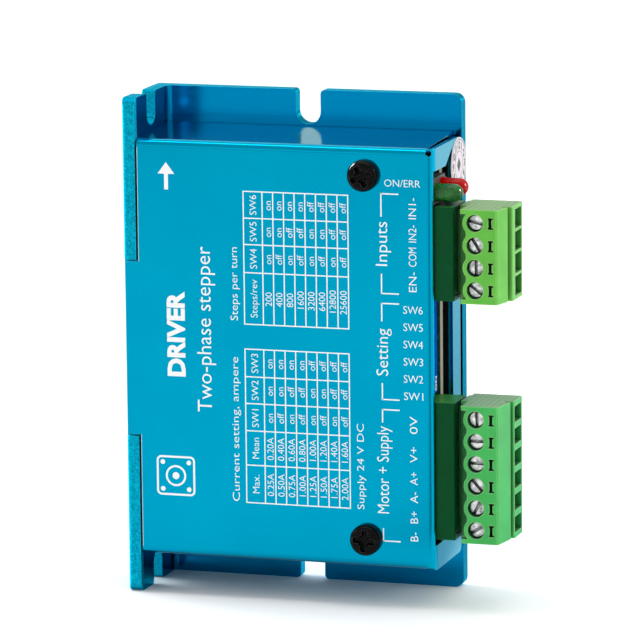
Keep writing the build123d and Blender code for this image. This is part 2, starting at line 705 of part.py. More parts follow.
# ---------------------------------------------------------------- everything
def build_nodes():
    nodes = {
        "heatsink": make_heatsink(),
        "cover": make_cover(),
        "cover_screws": make_cover_screws(),
        "lower_posts": make_lower_posts(),
        "upper_posts": make_upper_posts(),
        "board_screws": make_board_screws(),
        "circuit_board": make_board(),
        "insulating_sheet": make_insulating_sheet(),
        "thermal_pad": make_thermal_pad(),
        "driver_chip_tab": make_chip_tab(),
        "driver_chip_body": make_chip_body(),
        "driver_chip_leads": make_chip_leads(),
        "driver_chip_screws": make_chip_screws(),
        "chip_packages": make_packages(),
        "chip_leads": make_package_leads(),
        "capacitor_cans": make_capacitor_cans(),
        "capacitor_bases": make_capacitor_bases(),
        "resistors": make_resistors(),
        "inductor": make_inductor(),
        "dip_switch_body": make_dip_body(),
        "dip_switch_pins": make_dip_pins(),
        "lamp_green": make_lamp(GREEN_LAMP),
        "lamp_red": make_lamp(RED_LAMP),
        "lamp_leads": make_lamp_leads(),
        "lamp_spacer": make_lamp_spacer(),
        "seam_seal": make_seal(),
    }
    for i, z in enumerate(dip_heights(), 1):
        nodes[f"dip_knob_{i}"] = make_dip_knob(z)
    for name in PLUGS:
        nodes[f"{name}_header"] = make_header(name)
        nodes[f"{name}_header_pins"] = make_header_pins(name)
        nodes[f"{name}_plug"] = make_plug_housing(name)
        nodes[f"{name}_contacts"] = make_contacts(name)
        for i, z in enumerate(pole_heights(name), 1):
            nodes[f"{name}_screw_{i}"] = make_terminal_screw(z, SCREW_TURNS[name][i - 1])
            nodes[f"{name}_clamp_{i}"] = make_clamp(z)
    return nodes


def main():
    os.makedirs("parts", exist_ok=True)
    origin = Pos(-WIDTH / 2, -DEPTH, -LENGTH / 2)
    for name, shape in build_nodes().items():
        solids = shape if isinstance(shape, list) else shape.solids()
        placed = Compound([origin * solid for solid in solids])
        placed.label = name
        export_step(placed, f"parts/{name}.step")


main()
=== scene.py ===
"""Looks of the stepper motor driver module: materials, printed legends, small details and studio.

Everything is in metres in the part's own frame. Places on the cover are given in millimetres from
the heatsink's outer side (x) and lower end (z), the way the part was designed.
"""
import json
import math

import bmesh
import bpy
from mathutils import Matrix, Vector


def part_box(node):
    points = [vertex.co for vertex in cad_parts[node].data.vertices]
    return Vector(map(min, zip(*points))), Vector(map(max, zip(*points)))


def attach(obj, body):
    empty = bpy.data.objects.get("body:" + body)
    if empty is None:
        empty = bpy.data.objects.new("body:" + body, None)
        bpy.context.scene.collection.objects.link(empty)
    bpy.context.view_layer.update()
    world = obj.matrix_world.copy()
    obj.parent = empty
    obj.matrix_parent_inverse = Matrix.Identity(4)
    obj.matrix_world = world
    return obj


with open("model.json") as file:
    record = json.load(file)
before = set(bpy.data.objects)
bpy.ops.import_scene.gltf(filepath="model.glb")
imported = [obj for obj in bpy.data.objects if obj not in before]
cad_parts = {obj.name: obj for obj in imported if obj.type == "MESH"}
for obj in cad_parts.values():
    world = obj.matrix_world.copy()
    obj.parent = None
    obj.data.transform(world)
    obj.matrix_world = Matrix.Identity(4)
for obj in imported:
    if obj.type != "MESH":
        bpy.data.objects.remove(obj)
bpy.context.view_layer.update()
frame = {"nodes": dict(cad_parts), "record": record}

MM = 0.001
HEAT_LOW, HEAT_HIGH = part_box("heatsink")
COVER_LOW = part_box("cover")[0]
ROOT = "driver"

# camera, as an orbit around a point on the front half of the module
CAMERA_AIM = (32.05, 10.0, 47.33)        # mm from the heatsink's outer side, front edge and lower end
CAMERA_YAW = 17.38                       # degrees to the right of straight on
CAMERA_PITCH = 10.39                     # degrees above the horizon
CAMERA_ROLL = -0.57
CAMERA_DISTANCE = 0.8795
CAMERA_LENS = 288.8                      # mm on a 36 mm sensor

# where the heatsink's finish changes, in mm from its outer side (x) and front edge (y)
SIDE_LEG = 2.45                          # within the side leg
FRONT_EDGE = 1.3                         # within the side leg's front edge
SIDE_SLOT_Y, SIDE_SLOT_REACH = 8.85, 3.0 # middle of the side slots, and how far they reach from it
LEFT_HIGHLIGHT_REACH = 3.0                          # the cover's left edge, with its painted highlight, lies within this

INK = 0.012 * MM                         # thickness of the print
CAPITAL_SHARE = 0.729                    # height of a capital over the font's size
THINNING = 0.012                         # mm taken off strokes, times the root of the capital's height


# ---------------------------------------------------------------- places
def place(x, y, z):
    """A point given in mm from the heatsink's outer side, front edge and lower end."""
    return Vector((HEAT_LOW.x + x * MM, HEAT_LOW.y + y * MM, HEAT_LOW.z + z * MM))


# ---------------------------------------------------------------- node helpers
class Surface:
    """One material and short calls to build its nodes."""

    def __init__(self, name, **values):
        self.material = bpy.data.materials.new(name)
        self.material.use_nodes = True
        self.tree = self.material.node_tree
        self.shader = self.tree.nodes["Principled BSDF"]
        self.coords = self.tree.nodes.new("ShaderNodeTexCoord").outputs["Object"]
        self.geometry = self.tree.nodes.new("ShaderNodeNewGeometry")
        self.set(**values)

    def set(self, **values):
        """Plain values or other nodes' outputs, on the shader's sockets."""
        for name, value in values.items():
            self.feed(self.shader.inputs[name.replace("_", " ")], value)

    def feed(self, socket, value):
        """Links a node's output to the socket, or sets a number or colour on it."""
        if isinstance(value, bpy.types.NodeSocket):
            self.tree.links.new(value, socket)
        elif isinstance(value, (tuple, list)) and len(value) == 3 and socket.type == "RGBA":
            socket.default_value = (*value, 1)
        else:
            socket.default_value = value

    def math(self, operation, a, b=0.0):
        """One step of arithmetic on numbers or outputs."""
        node = self.tree.nodes.new("ShaderNodeMath")
        node.operation = operation
        self.feed(node.inputs[0], a)
        self.feed(node.inputs[1], b)
        return node.outputs[0]

    def axes(self, vector):
        """The X, Y and Z outputs of a vector."""
        node = self.tree.nodes.new("ShaderNodeSeparateXYZ")
        self.tree.links.new(vector, node.inputs[0])
        return node.outputs[0], node.outputs[1], node.outputs[2]

    def stretched(self, scale):
        """Object coordinates multiplied by a factor per axis."""
        node = self.tree.nodes.new("ShaderNodeMapping")
        node.inputs["Scale"].default_value = scale
        self.tree.links.new(self.coords, node.inputs["Vector"])
        return node.outputs[0]

    def noise(self, size, detail=2.0, roughness=0.5, stretch=None):
        """Noise whose features are about size millimetres across."""
        node = self.tree.nodes.new("ShaderNodeTexNoise")
        node.inputs["Scale"].default_value = 1 / (size * MM)
        node.inputs["Detail"].default_value = detail
        node.inputs["Roughness"].default_value = roughness
        self.tree.links.new(self.stretched(stretch) if stretch else self.coords,
                            node.inputs["Vector"])
        return node.outputs["Fac"]

    def cells(self, size):
        """Distance to the nearest boundary of cells about size millimetres across."""
        node = self.tree.nodes.new("ShaderNodeTexVoronoi")
        node.feature = "DISTANCE_TO_EDGE"
        node.inputs["Scale"].default_value = 1 / (size * MM)
        self.tree.links.new(self.coords, node.inputs["Vector"])
        return node.outputs["Distance"]

    def spread(self, value, low, high, to_low=0.0, to_high=1.0):
        """Maps low to high onto to_low to to_high, held at both ends."""
        node = self.tree.nodes.new("ShaderNodeMapRange")
        node.clamp = True
        self.feed(node.inputs["Value"], value)
        node.inputs["From Min"].default_value = low
        node.inputs["From Max"].default_value = high
        node.inputs["To Min"].default_value = to_low
        node.inputs["To Max"].default_value = to_high
        return node.outputs[0]

    def mix(self, factor, a, b):
        """Colour a where factor is 0, b where it is 1."""
        node = self.tree.nodes.new("ShaderNodeMix")
        node.data_type = "RGBA"
        self.feed(node.inputs[0], factor)
        self.feed(node.inputs[6], a)
        self.feed(node.inputs[7], b)
        return node.outputs[2]

    def edges(self, width, sharp=0.35):
        """1 along convex and concave edges, fading over about width millimetres."""
        bevel = self.tree.nodes.new("ShaderNodeBevel")
        bevel.samples = 4
        bevel.inputs["Radius"].default_value = width * MM
        dot = self.tree.nodes.new("ShaderNodeVectorMath")
        dot.operation = "DOT_PRODUCT"
        self.tree.links.new(bevel.outputs[0], dot.inputs[0])
        self.tree.links.new(self.geometry.outputs["Normal"], dot.inputs[1])
        return self.spread(dot.outputs["Value"], 1.0, 1.0 - sharp)

    def shaded(self, colour, reach, hollow, shade_tone=(0.0, 0.0, 0.0)):
        """The colour, darkened towards the given tone in recesses about reach millimetres wide: painted
        shade where little light gets in.
        """
        node = self.tree.nodes.new("ShaderNodeAmbientOcclusion")
        node.samples = 6
        node.inputs["Distance"].default_value = reach * MM
        openness = self.spread(node.outputs["AO"], 0.22, 0.68, hollow, 1.0)
        return self.mix(openness, shade_tone, colour)

    def grid(self, step_x, step_y, line):
        """1 on the thin lines of a grid in X and Y."""
        x, y, _z = self.axes(self.coords)
        near_x = self.spread(self.math("PINGPONG", x, step_x * MM / 2), 0, line * MM, 1, 0)
        near_y = self.spread(self.math("PINGPONG", y, step_y * MM / 2), 0, line * MM, 1, 0)
        return self.math("MAXIMUM", near_x, near_y)

    def rounded(self, width):
        """Normals rounded over edges, for use under a bump."""
        bevel = self.tree.nodes.new("ShaderNodeBevel")
        bevel.samples = 4
        bevel.inputs["Radius"].default_value = width * MM
        return bevel.outputs[0]

    def bump(self, height, depth, normal=None):
        """Bump whose height of 1 is depth millimetres."""
        node = self.tree.nodes.new("ShaderNodeBump")
        node.inputs["Strength"].default_value = 1.0
        node.inputs["Distance"].default_value = depth * MM
        self.tree.links.new(height, node.inputs["Height"])
        if normal:
            self.tree.links.new(normal, node.inputs["Normal"])
        return node.outputs[0]


# ---------------------------------------------------------------- materials
def anodised_extrusion():
    """Blue anodised heatsink: glossy drawn faces, grainy sawn ends and milled slots."""
    m = Surface("anodised_extrusion", Metallic=1.0, Specular_Tint=(0.4, 0.85, 0.85))
    x, y, z = m.axes(m.coords)
    nx, ny, nz = m.axes(m.geometry.outputs["Normal"])
    side_leg = m.math("LESS_THAN", x, HEAT_LOW.x + SIDE_LEG * MM)
    sawn = m.math("GREATER_THAN", m.math("ABSOLUTE", nz), 0.25)
    front_edge = m.math("LESS_THAN", y, HEAT_LOW.y + FRONT_EDGE * MM)
    slot_side = m.math("MULTIPLY", side_leg, m.math("GREATER_THAN", m.math("ABSOLUTE", ny), 0.4))
    in_slot_y = m.math("COMPARE", y, HEAT_LOW.y + SIDE_SLOT_Y * MM)
    in_slot_y.node.inputs[2].default_value = SIDE_SLOT_REACH * MM
    slot_side = m.math("MULTIPLY", slot_side, in_slot_y)
    right_edge = m.math("MULTIPLY", m.math("GREATER_THAN", nx, 0.5),
                        m.math("GREATER_THAN", x, HEAT_HIGH.x - 0.1 * MM))
    cut = m.math("MAXIMUM", m.math("MAXIMUM", sawn, front_edge), slot_side)
    grain = m.noise(0.30, 4.0, 0.75)
    drawn = m.noise(0.25, 3.0, 0.6, stretch=(0.03, 1, 1))
    tone = m.noise(9.0, 3.0, 0.5)
    deep = m.mix(m.spread(drawn, 0.3, 0.7, 0.0, 0.6), (0.0, 0.183, 0.396), (0.0, 0.222, 0.444))
    deep = m.mix(m.spread(tone, 0.35, 0.65, 0.0, 0.4), deep, (0.0, 0.20, 0.405))
    bright = m.mix(m.spread(grain, 0.40, 0.62), (0.0, 0.195, 0.315), (0.003, 0.46, 0.62))
    # up-facing cut faces get a darker copy of the cut colour: painted shade on the tops
    top = m.mix(m.spread(grain, 0.40, 0.66), (0.0, 0.085, 0.16), (0.0, 0.26, 0.38))
    bright = m.mix(m.math("GREATER_THAN", nz, 0.5), bright, top)
    colour = m.mix(cut, deep, bright)
    # the right end face gets a darker colour: painted shade on that side
    rim = m.mix(m.spread(grain, 0.40, 0.62), (0.0, 0.095, 0.185), (0.01, 0.225, 0.36))
    colour = m.mix(right_edge, colour, rim)
    cut = m.math("MAXIMUM", cut, right_edge)
    # edges mixed towards a pale cyan: painted highlight along them
    edge = m.edges(0.16, 0.25)
    colour = m.mix(m.math("MULTIPLY", edge, 0.45), colour, (0.06, 0.62, 0.78))
    rough = m.math("ADD", m.math("MULTIPLY", cut, 0.34), m.spread(drawn, 0.2, 0.8, 0.12, 0.20))
    height = m.math("ADD", m.math("MULTIPLY", grain, cut), m.math("MULTIPLY", drawn, 0.12))
    m.set(Base_Color=colour, Roughness=rough, Normal=m.bump(height, 0.012, m.rounded(0.12)))
    return m.material


def anodised_sheet():
    """Blue anodised cover sheet: smooth, faintly grained, with painted highlights on its edges and a
    brighter one along its left edge.
    """
    m = Surface("anodised_sheet", Metallic=1.0, Specular_Tint=(0.8, 0.95, 0.93))
    grain = m.noise(0.14, 3.0, 0.6)
    tone = m.noise(16.0, 2.0, 0.5)
    colour = m.mix(m.spread(tone, 0.35, 0.65), (0.0, 0.27, 0.435), (0.0, 0.285, 0.45))
    colour = m.mix(m.spread(grain, 0.6, 0.85, 0.0, 0.25), colour, (0.0, 0.34, 0.50))
    # edges mixed towards a pale cyan: painted highlight along them
    edge = m.edges(0.14, 0.3)
    colour = m.mix(m.math("MULTIPLY", edge, 0.5), colour, (0.10, 0.70, 0.85))
    # the left edge's rounding is painted near-white: a painted highlight along the cover's left edge
    x, _y, _z = m.axes(m.coords)
    nx, _ny, _nz = m.axes(m.geometry.outputs["Normal"])
    left_edge_highlight = m.math("MULTIPLY", m.math("LESS_THAN", x, HEAT_LOW.x + LEFT_HIGHLIGHT_REACH * MM),
                  m.spread(nx, -0.1, -0.45))
    colour = m.mix(left_edge_highlight, colour, (0.80, 0.88, 0.90))
    m.set(Base_Color=colour, Roughness=m.spread(grain, 0.2, 0.8, 0.10, 0.19),
          Normal=m.bump(grain, 0.002, m.rounded(0.10)))
    return m.material


def plated_metal(name, base, dark, rough=(0.18, 0.4), wear_and_highlight=0.5, reach=1.0):
    """Plated screw or pin: fine turning marks, stains, edges painted brighter for wear and a painted
    highlight, and painted shade in recesses.
    """
    m = Surface(name, Metallic=1.0)
    marks = m.noise(0.22, 4.0, 0.65, stretch=(1, 1, 12))
    stain = m.noise(0.9, 3.0, 0.6)
    colour = m.mix(m.spread(stain, 0.42, 0.66), base, dark)
    bright = tuple(min(1.0, c * 1.35 + 0.08) for c in base)
    # edges painted brighter: partly wear, partly a painted highlight
    colour = m.mix(m.math("MULTIPLY", m.edges(0.10, 0.3), wear_and_highlight), colour, bright)
    # painted shade in recesses
    colour = m.shaded(colour, reach, 0.05)
    m.set(Base_Color=colour, Roughness=m.spread(marks, 0.25, 0.75, *rough),
          Normal=m.bump(marks, 0.012, m.rounded(0.08)))
    return m.material


def black_oxide():
    """Black-finished screw: a dark oily skin, glossy, with edges painted a little paler, partly wear and
    partly a painted highlight.
    """
    m = Surface("black_oxide", Specular_IOR_Level=0.07)
    marks = m.noise(0.3, 4.0, 0.65)
    colour = m.mix(m.spread(marks, 0.4, 0.7), (0.001, 0.001, 0.0011), (0.0035, 0.0035, 0.004))
    # edges painted paler: partly wear, partly a painted highlight
    colour = m.mix(m.math("MULTIPLY", m.edges(0.10, 0.25), 0.8), colour, (0.12, 0.12, 0.125))
    m.set(Base_Color=colour, Roughness=m.spread(marks, 0.25, 0.75, 0.10, 0.24),
          Normal=m.bump(marks, 0.01, m.rounded(0.08)))
    return m.material


def moulded_plastic(name, base, pale, rough=0.34, edge_width=0.22, scatter=0.0, edge=0.7,
                    gloss=0.25, reach=4.5, top_sheen=0.0, film=(0.13, 0.17, 0.11), ribs=0.0):
    """Injection-moulded plastic: spark-eroded skin, edges painted paler for wear and a painted
    highlight, and painted shade in recesses.

    Faces that look up get a painted sheen mixed into their colour and, where ribs is set, a faint
    moulded grid.
    """
    m = Surface(name, Subsurface_Weight=scatter, Subsurface_Scale=0.6 * MM,
                Specular_IOR_Level=gloss)
    skin = m.noise(0.10, 2.0, 0.6)
    cloud = m.noise(5.0, 2.0, 0.5)
    deeper = tuple(c * 0.86 for c in base)
    colour = m.mix(m.spread(cloud, 0.35, 0.65), base, deeper)
    up = m.spread(m.axes(m.geometry.outputs["Normal"])[2], 0.6, 0.95)
    # faces that look up are mixed towards film: a painted sheen on the tops, standing in for the light
    # they catch
    colour = m.mix(m.math("MULTIPLY", up, top_sheen), colour, film)
    lines = m.math("MULTIPLY", up, m.math("MULTIPLY", m.grid(1.0, 2.7, 0.16), ribs))
    colour = m.mix(lines, colour, pale)
    # edges painted pale: partly wear, partly a painted highlight
    colour = m.mix(m.math("MULTIPLY", m.edges(edge_width, 0.3), edge), colour, pale)
    # painted shade in recesses, falling towards a dark green
    colour = m.shaded(colour, reach, 0.04, (0.0, base[1] * 0.16, base[1] * 0.08))
    m.set(Base_Color=colour, Roughness=m.spread(skin, 0.2, 0.8, rough - 0.06, rough + 0.08),
          Normal=m.bump(skin, 0.004, m.rounded(0.12)))
    return m.material


def circuit_board():
    """Green solder mask on both faces, woven laminate along the edge."""
    m = Surface("circuit_board")
    _nx, ny, _nz = m.axes(m.geometry.outputs["Normal"])
    face = m.math("GREATER_THAN", m.math("ABSOLUTE", ny), 0.5)
    track = m.spread(m.cells(2.4), 0.03, 0.06)
    mask = m.mix(track, (0.02, 0.16, 0.05), (0.01, 0.085, 0.03))
    weave = m.noise(0.18, 3.0, 0.7, stretch=(1, 6, 1))
    edge = m.mix(m.spread(weave, 0.35, 0.7), (0.30, 0.29, 0.21), (0.17, 0.16, 0.11))
    # painted shade in recesses
    m.set(Base_Color=m.shaded(m.mix(face, edge, mask), 3.0, 0.05),
          Roughness=m.spread(face, 0, 1, 0.7, 0.28), Normal=m.bump(weave, 0.02))
    return m.material


def epoxy_lens(name, tint, deep, clear):
    """Tinted lamp epoxy, cloudy with dye."""
    m = Surface(name, Transmission_Weight=clear, IOR=1.4, Specular_IOR_Level=0.2)
    cloud = m.noise(1.2, 2.0, 0.5)
    m.set(Base_Color=m.mix(m.spread(cloud, 0.35, 0.65), tint, deep),
          Roughness=m.spread(cloud, 0.3, 0.7, 0.02, 0.06))
    return m.material


def matte(name, base, other, size=0.4, rough=0.6):
    """Plain moulded, filled or woven matt surface with a fine mottle."""
    m = Surface(name)
    mottle = m.noise(size, 3.0, 0.6)
    m.set(Base_Color=m.mix(m.spread(mottle, 0.35, 0.65), base, other),
          Roughness=m.spread(mottle, 0.2, 0.8, rough - 0.08, rough + 0.1),
          Normal=m.bump(mottle, 0.01, m.rounded(0.08)))
    return m.material


def paper():
    """Off-white seal paper with fine fibres."""
    m = Surface("seal_paper")
    fibre = m.noise(0.12, 4.0, 0.7)
    m.set(Base_Color=m.mix(m.spread(fibre, 0.3, 0.7), (0.64, 0.575, 0.63), (0.70, 0.635, 0.69)),
          Roughness=m.spread(fibre, 0.2, 0.8, 0.5, 0.7), Normal=m.bump(fibre, 0.004))
    return m.material


def ink(name, base, rough=0.45):
    """Screen-printed ink, a little uneven."""
    m = Surface(name)
    speck = m.noise(0.15, 3.0, 0.6)
    thin = tuple(c * 0.93 for c in base)
    m.set(Base_Color=m.mix(m.spread(speck, 0.4, 0.7), base, thin),
          Roughness=m.spread(speck, 0.2, 0.8, rough - 0.05, rough + 0.1))
    return m.material


def slot_materials():
    """The record's material slots and the finish each gets."""
    return {
        "heatsink_blue": anodised_extrusion(),
        "cover_blue": anodised_sheet(),
        "black_steel": black_oxide(),
        "nickel": plated_metal("nickel", (0.80, 0.82, 0.80), (0.22, 0.24, 0.23), (0.14, 0.36),
                               wear_and_highlight=0.8, reach=1.4),
        "zinc_steel": plated_metal("zinc_steel", (0.58, 0.59, 0.60), (0.36, 0.37, 0.38)),
        "brass_post": plated_metal("brass_post", (0.66, 0.48, 0.20), (0.42, 0.29, 0.11)),
        "tinned_brass": plated_metal("tinned_brass", (0.66, 0.62, 0.52), (0.40, 0.37, 0.30)),
        "board": circuit_board(),
        # black sheet inside the window, where the inside lies in deep shade; its black stands in for
        # that shade
        "black_film": matte("black_film", (0.006, 0.006, 0.007), (0.012, 0.012, 0.013), 0.6, 0.5),
        "pad_grey": matte("pad_grey", (0.26, 0.29, 0.31), (0.20, 0.22, 0.24), 0.5, 0.8),
        "chip_black": matte("chip_black", (0.018, 0.018, 0.02), (0.03, 0.03, 0.032), 0.15, 0.55),
        "copper_tab": plated_metal("copper_tab", (0.62, 0.40, 0.26), (0.42, 0.25, 0.15)),
        "tin": plated_metal("tin", (0.62, 0.62, 0.60), (0.42, 0.42, 0.41), (0.22, 0.42)),
        "can_aluminium": plated_metal("can_aluminium", (0.70, 0.71, 0.72), (0.55, 0.56, 0.57)),
        "base_black": matte("base_black", (0.012, 0.012, 0.012), (0.02, 0.02, 0.02), 0.3, 0.5),
        "resistor_dark": matte("resistor_dark", (0.015, 0.015, 0.018), (0.04, 0.04, 0.045)),
        "ferrite": matte("ferrite", (0.05, 0.05, 0.055), (0.09, 0.09, 0.095), 0.2, 0.75),
        "switch_blue": moulded_plastic("switch_blue", (0.001, 0.075, 0.50), (0.02, 0.16, 0.60),
                                       0.5, gloss=0.0, reach=1.5),
        "knob_white": moulded_plastic("knob_white", (0.78, 0.78, 0.74), (0.9, 0.9, 0.88)),
        "lamp_green": epoxy_lens("lamp_green", (0.05, 0.42, 0.07), (0.03, 0.28, 0.045), 0.75),
        "lamp_red": epoxy_lens("lamp_red", (0.60, 0.004, 0.001), (0.40, 0.003, 0.001), 0.2),
        "spacer_grey": matte("spacer_grey", (0.022, 0.023, 0.024), (0.035, 0.036, 0.037), 0.3, 0.5),
        "header_green": moulded_plastic("header_green", (0.001, 0.068, 0.018),
                                        (0.03, 0.24, 0.07), 0.30, 0.2, gloss=0.06, reach=3.0,
                                        top_sheen=0.85, film=(0.045, 0.25, 0.045)),
        "signal_plug_green": moulded_plastic("signal_plug_green", (0.118, 0.48, 0.052),
                                             (0.44, 0.74, 0.24), 0.36, 0.26, 0.12, 0.9,
                                             top_sheen=0.6, ribs=0.35),
        "power_plug_green": moulded_plastic("power_plug_green", (0.048, 0.43, 0.09),
                                            (0.36, 0.68, 0.28), 0.36, 0.26, 0.12, 0.9,
                                            top_sheen=0.6, ribs=0.35),
        "seal_paper": paper(),
    }


def dress_nodes(materials):
    """Every node gets the finish of its slot."""
    for part in frame["record"]["subparts"]:
        node = frame["nodes"][part["node"]]
        node.data.materials.clear()
        node.data.materials.append(materials[part["material_slot"]])


# ---------------------------------------------------------------- print
class Print:
    """Flat ink shapes on one plane, gathered into one mesh.

    corner is the plane's origin, across and up its unit axes; across x up points off the surface.
    """

    def __init__(self, name, corner, across, up):
        self.name = name
        off = across.cross(up)
        self.matrix = Matrix((across, up, off)).transposed().to_4x4()
        self.matrix.translation = corner
        self.mesh = bmesh.new()

    def outline(self, points):
        """Filled outline from points in mm, anticlockwise."""
        flat = [self.mesh.verts.new(self.matrix @ Vector((u * MM, v * MM, 0))) for u, v in points]
        face = self.mesh.faces.new(flat)
        raised = bmesh.ops.extrude_face_region(self.mesh, geom=[face])
        lift = self.matrix.to_3x3() @ Vector((0, 0, INK))
        tops = [v for v in raised["geom"] if isinstance(v, bmesh.types.BMVert)]
        bmesh.ops.translate(self.mesh, verts=tops, vec=lift)

    def bar(self, u0, v0, u1, v1):
        """Rectangle between two corners."""
        self.outline([(u0, v0), (u1, v0), (u1, v1), (u0, v1)])

    def ring(self, u, v, outer, inner, steps=40, start=0.0, sweep=360.0):
        """Ring, or an arc of one."""
        count = max(3, int(steps * sweep / 360))
        turn = [math.radians(start + sweep * i / count) for i in range(count + 1)]
        for a, b in zip(turn, turn[1:]):
            corners = [(inner, a), (outer, a), (outer, b), (inner, b)]
            self.outline([(u + r * math.cos(t), v + r * math.sin(t)) for r, t in corners])

    def disc(self, u, v, radius, steps=28):
        """Filled circle."""
        turn = [2 * math.pi * i / steps for i in range(steps)]
        self.outline([(u + radius * math.cos(t), v + radius * math.sin(t)) for t in turn])

    def text(self, words, u, v, capital, length=None, upward=False, bold=0.0, align="LEFT"):
        """Words with capitals of the given height, from (u, v); upward turns them to read up."""
        curve = bpy.data.curves.new("words", "FONT")
        curve.body = words
        curve.size = capital * MM / CAPITAL_SHARE
        curve.align_x = align
        curve.resolution_u = 3
        curve.extrude = INK / 2
        curve.offset = (bold - THINNING * capital ** 0.5) * MM
        helper = bpy.data.objects.new("words", curve)
        bpy.context.scene.collection.objects.link(helper)
        bpy.context.view_layer.update()
        stretch = 1.0
        if length:
            stretch = length * MM / max(helper.dimensions.x, 1e-6)
        mesh = bpy.data.meshes.new_from_object(helper)
        turn = Matrix.Rotation(math.pi / 2 if upward else 0, 4, "Z")
        shift = Matrix.Translation((u * MM, v * MM, INK / 2))
        mesh.transform(self.matrix @ shift @ turn @ Matrix.Diagonal((stretch, 1, 1, 1)))
        self.mesh.from_mesh(mesh)
        bpy.data.meshes.remove(mesh)
        bpy.data.objects.remove(helper)
        bpy.data.curves.remove(curve)

    def finish(self, material, body):
        """Makes the gathered ink one piece that rides on a body."""
        mesh = bpy.data.meshes.new(self.name)
        self.mesh.to_mesh(mesh)
        self.mesh.free()
        piece = bpy.data.objects.new(self.name, mesh)
        bpy.context.scene.collection.objects.link(piece)
        mesh.materials.append(material)
        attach(piece, body)


# the print's layout, in mm from the heatsink's outer side and lower end
TABLE_LEFT, HEAD_COLUMN, COLUMN = 21.75, 3.36, 1.895
TABLE_LINE = 0.2
STEP_ROWS = [70.8, 66.22, 61.68, 56.84, 47.95]
CURRENT_ROWS = [43.64, 38.85, 34.2, 29.47, 23.48, 16.92]
HEADINGS = (                             # words, x, z, capital height, length, boldness
    ("DRIVER", 10.85, 38.15, 3.1, 14.8, 0.2),
    ("Two-phase stepper", 15.7, 32.3, 2.75, 28.6, 0.0),
    ("Steps per turn", 20.55, 48.4, 1.4, 12.6, 0.0),
    ("Current setting, ampere", 20.5, 16.9, 1.35, 25.1, 0.0),
    ("Supply 24 V DC", 42.75, 16.75, 1.3, 14.8, 0.0),
)
TERMINAL_X = 52.25
TERMINALS = (                            # words, lower and upper z
    ("IN1-", 67.0, 70.57), ("IN2-", 63.09, 65.98), ("COM", 59.0, 62.24), ("EN-", 54.57, 57.98),
    ("0V", 30.3, 33.3), ("V+", 25.4, 28.1), ("A+", 21.54, 23.79), ("A-", 18.42, 20.33),
    ("B+", 14.77, 16.86), ("B-", 11.65, 13.21),
)
SECTIONS = (       # words, z of the bracket's arms and stems from the top, start and length of the words
    ("Inputs", 71.3, 67.4, 57.65, 54.3, 58.75, 7.5),
    ("Setting", 52.6, 49.5, 38.92, 36.1, 40.05, 8.1),
    ("Motor + Supply", 34.35, 32.1, 13.81, 11.6, 16.2, 15.1),
)
SWITCHES_X, TOP_SWITCH_Z, SWITCH_PITCH = 49.8, 51.0, 2.96


def table(ink_on, rows, texts):
    """Grid of nine columns; rows are the z of its lines from the top, texts one list per row."""
    lines = [TABLE_LEFT] + [TABLE_LEFT + HEAD_COLUMN + i * COLUMN for i in range(9)]
    half = TABLE_LINE / 2
    for x in lines:
        ink_on.bar(x - half, rows[-1] - half, x + half, rows[0] + half)
    for z in rows:
        for a, b in zip(lines, lines[1:]):
            ink_on.bar(a + half, z - half, b - half, z + half)
    for (top, low), words in zip(zip(rows, rows[1:]), texts):
        middle = (top + low) / 2
        for i, word in enumerate(words):
            left, right = lines[i], lines[i + 1]
            capital = 1.22 if i else 1.3
            ink_on.text(word, (left + right + capital) / 2, middle, capital,
                        upward=True, align="CENTER")


def switch_words(number, bit):
    """Heading and the eight on/off settings of one switch."""
    return [f"SW{number}"] + ["off" if i >> bit & 1 else "on" for i in range(8)]


def cover_print(white):
    """White legend on the cover: plain headings, two setting tables and terminal labels."""
    corner = Vector((HEAT_LOW.x, COVER_LOW.y, HEAT_LOW.z))
    p = Print("cover_print", corner, Vector((1, 0, 0)), Vector((0, 0, 1)))
    for words, x, z, capital, length, bold in HEADINGS:
        p.text(words, x, z, capital, length, True, bold)

    counts = [str(200 * 2 ** i) for i in range(8)]
    table(p, STEP_ROWS,
          [switch_words(6, 2), switch_words(5, 1), switch_words(4, 0), ["Steps/rev"] + counts])
    peaks = [0.25 * (i + 1) for i in range(8)]
    table(p, CURRENT_ROWS,
          [switch_words(3, 2), switch_words(2, 1), switch_words(1, 0),
           ["Mean"] + [f"{peak * 0.8:.2f}A" for peak in peaks],
           ["Max."] + [f"{peak:.2f}A" for peak in peaks]])

    section_brackets(p)
    for word, low, high in TERMINALS:
        p.text(word, TERMINAL_X, low, 1.45, high - low, True)
    for i in range(6):
        p.text(f"SW{6 - i}", SWITCHES_X, TOP_SWITCH_Z - i * SWITCH_PITCH, 1.4, 3.4)
    p.text("ON/ERR", 46.6, 72.55, 1.3, 6.3)
    arrow_mark(p, 8.0, 72.9)
    motor_mark(p, 9.0, 20.9)
    p.finish(white, ROOT)


def section_brackets(p):
    """Three section headings, each between the arms of a bracket."""
    stem, arm, width = 46.1, 49.15, 0.22
    for words, top, upper, lower, low, start, length in SECTIONS:
        p.bar(stem, top - width / 2, arm, top + width / 2)
        p.bar(stem, low - width / 2, arm, low + width / 2)
        p.bar(stem - width / 2, upper, stem + width / 2, top + width / 2)
        p.bar(stem - width / 2, low - width / 2, stem + width / 2, lower)
        p.text(words, 47.15, start, 2.2, length, True)


def arrow_mark(p, u, v):
    """Plain arrow that shows which end goes up."""
    p.bar(u - 0.35, v - 2.3, u + 0.35, v + 0.4)
    p.outline([(u - 1.5, v + 0.4), (u + 1.5, v + 0.4), (u, v + 2.4)])


